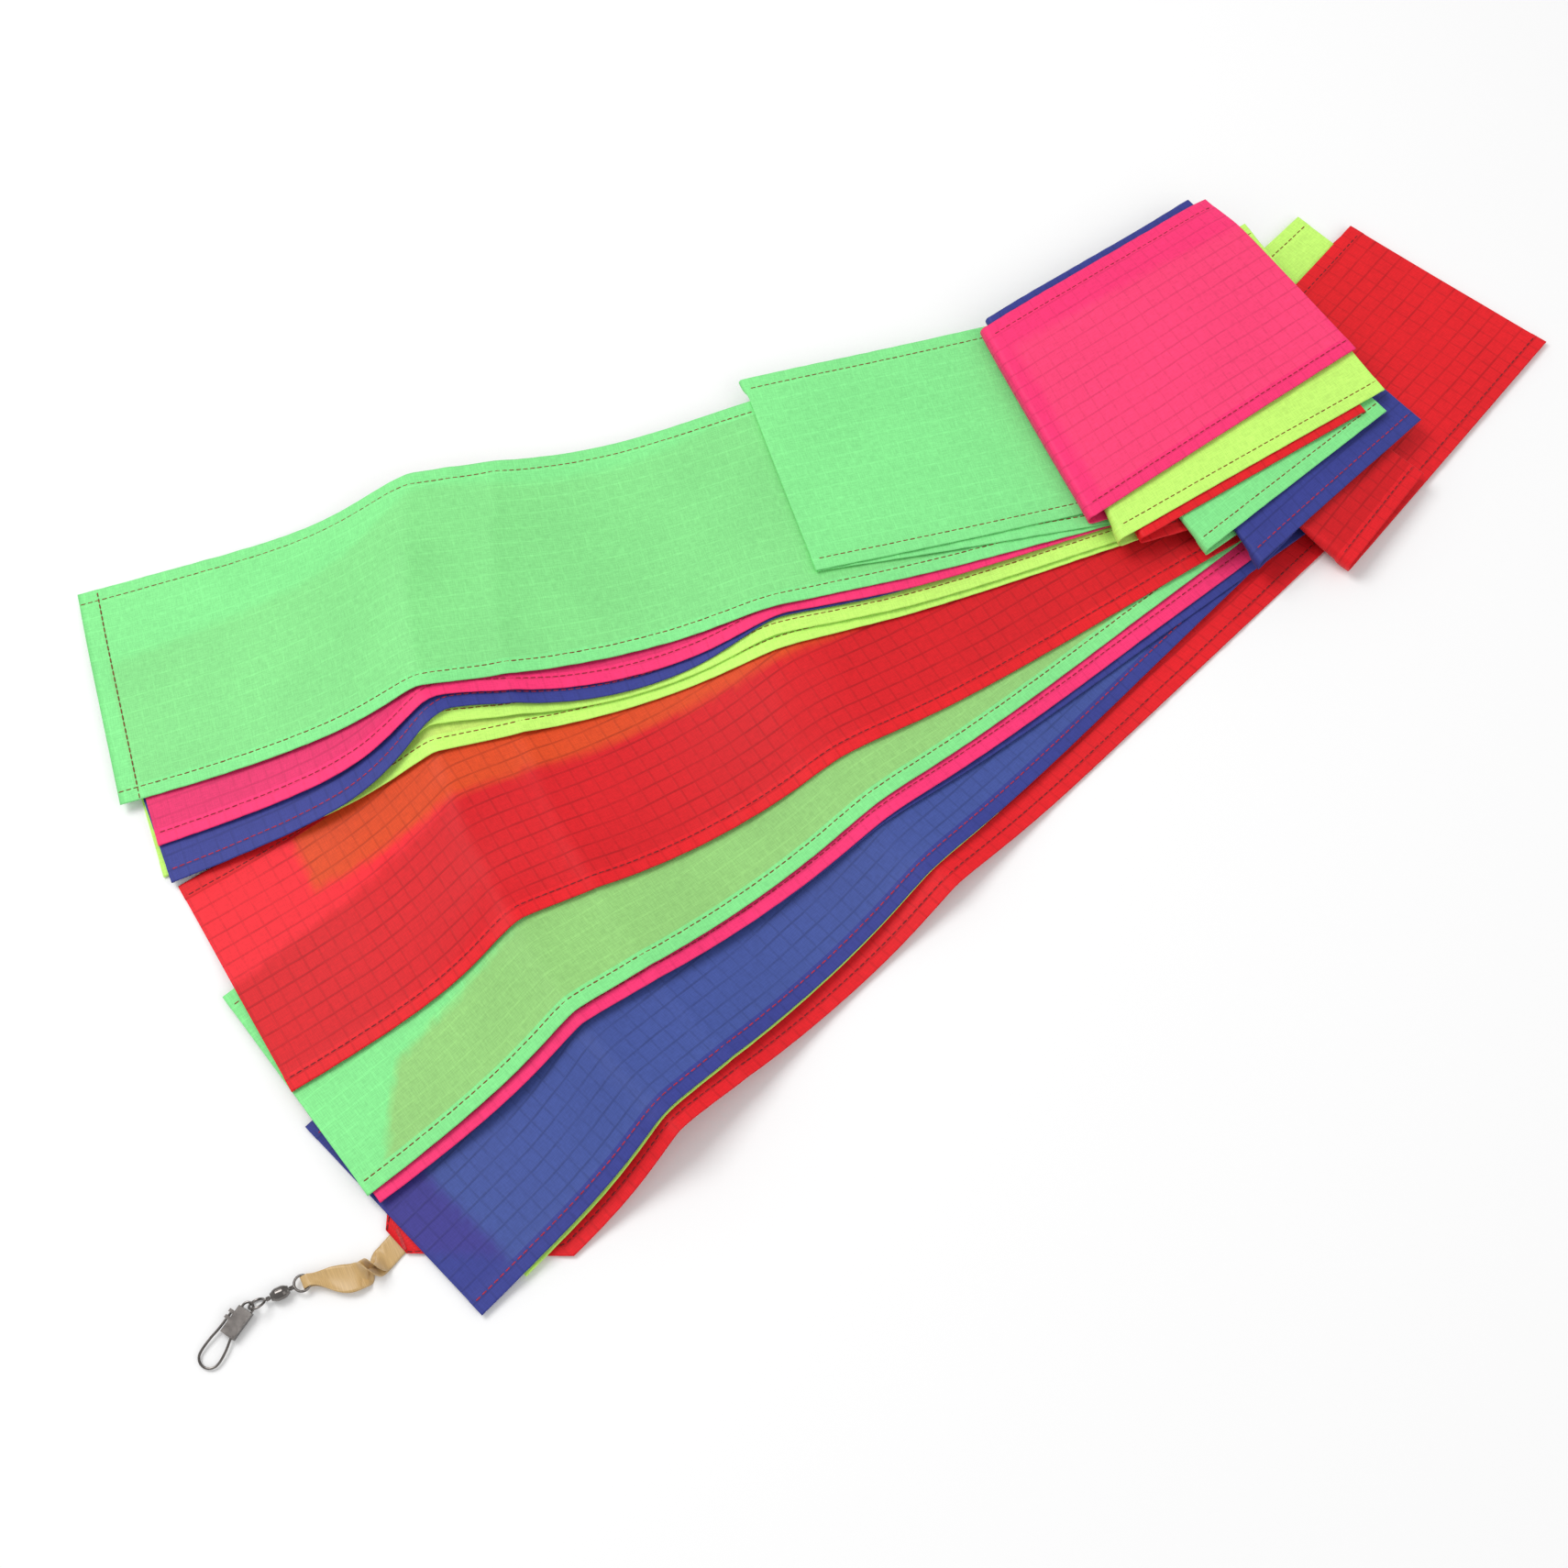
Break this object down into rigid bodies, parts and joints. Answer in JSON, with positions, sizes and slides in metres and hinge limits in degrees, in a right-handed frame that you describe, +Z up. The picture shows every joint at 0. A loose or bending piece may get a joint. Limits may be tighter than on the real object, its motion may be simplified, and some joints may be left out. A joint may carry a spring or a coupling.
{
  "type": "kite tail",
  "caption": "Long hemmed ripstop kite tail in bright colours, folded into a loose fan, with a satin ribbon loop and a barrel snap swivel.",
  "frame": {"origin": "middle of the footprint, on the surface the folded tail lies on", "axes": "+X along the longest side of the folded fan, towards the turns of the stack; +Z up"},
  "size_m": [0.6276, 0.506, 0.0206],
  "materials": {
    "cloth_green": "satin ripstop weave",
    "cloth_lime": "satin ripstop weave",
    "cloth_pink": "satin ripstop weave",
    "cloth_red": "satin ripstop weave",
    "cloth_navy": "satin ripstop weave",
    "ribbon_satin": "satin sheen",
    "thread": "matte thread",
    "black_nickel": "dark polished"
  },
  "bodies": {
    "stack": {"lead_long": "cloth_red", "lime_low_long": "cloth_lime", "navy_main_long": "cloth_navy", "navy_second_long": "cloth_navy", "pink_low_long": "cloth_pink", "green_low_long": "cloth_green", "lime_inner_long": "cloth_lime", "red_main_long": "cloth_red", "lime_first_long": "cloth_lime", "lime_second_long": "cloth_lime", "navy_high_long": "cloth_navy", "pink_high_long": "cloth_pink", "green_top_fixed": "cloth_green", "green_flap_under": "cloth_green", "green_flap_upper": "cloth_green", "pink_return": "cloth_pink", "navy_high_return": "cloth_navy", "lime_return": "cloth_lime", "red_inner_return": "cloth_red", "green_return": "cloth_green", "navy_low_return": "cloth_navy", "lime_low_return": "cloth_lime", "lead_return": "cloth_red", "lead_top": "cloth_red", "navy_low_top": "cloth_navy", "green_top_run": "cloth_green", "red_inner_top": "cloth_red", "lime_top": "cloth_lime", "navy_high_top": "cloth_navy"},
    "free_end": {"green_free_end": "cloth_green"},
    "pink_flap": {"pink_top": "cloth_pink"},
    "ribbon": {"ribbon_loop": "ribbon_satin", "ribbon_tack": "thread"},
    "tail_eye": {"tail_eye": "black_nickel"},
    "barrel": {"swivel_barrel": "black_nickel"},
    "snap_eye": {"snap_eye": "black_nickel"},
    "snap": {"snap_plate": "black_nickel", "snap_eye_wire": "black_nickel"},
    "gate": {"snap_bow_wire": "black_nickel"}
  },
  "joints": [
    {"name": "free_end_lift", "type": "hinge", "parent": "stack", "child": "free_end", "pos_m": [-0.04294, 0.09363, 0.00895], "axis": [-0.2924, 0.9563, 0], "range_deg": [0, 115]},
    {"name": "pink_flap_lift", "type": "hinge", "parent": "stack", "child": "pink_flap", "pos_m": [0.08877, 0.13628, 0.0203], "axis": [0.4067, -0.9135, 0], "range_deg": [0, 110]},
    {"name": "ribbon_swing", "type": "hinge", "parent": "stack", "child": "ribbon", "pos_m": [-0.16373, -0.20622, 0.00095], "axis": [0, 0, 1], "range_deg": [-50, 50]},
    {"name": "swivel_swing", "type": "hinge", "parent": "ribbon", "child": "tail_eye", "pos_m": [-0.19454, -0.22059, 0.003], "axis": [0, 0, 1], "range_deg": [-20, 20]},
    {"name": "barrel_spin", "type": "hinge", "parent": "tail_eye", "child": "barrel", "pos_m": [-0.20515, -0.22554, 0.003], "axis": [-0.9063, -0.4226, 0], "continuous": true},
    {"name": "snap_eye_spin", "type": "hinge", "parent": "barrel", "child": "snap_eye", "pos_m": [-0.20515, -0.22554, 0.003], "axis": [-0.9063, -0.4226, 0], "continuous": true},
    {"name": "snap_swing", "type": "hinge", "parent": "snap_eye", "child": "snap", "pos_m": [-0.21611, -0.23065, 0.003], "axis": [0, 0, 1], "range_deg": [-70, 10]},
    {"name": "snap_gate_open", "type": "hinge", "parent": "snap", "child": "gate", "pos_m": [-0.22177, -0.24143, 0.00218], "axis": [-0.039, -0.0582, 0.9975], "range_deg": [0, 25], "stiffness_Nm_per_rad": 0.02}
  ]
}
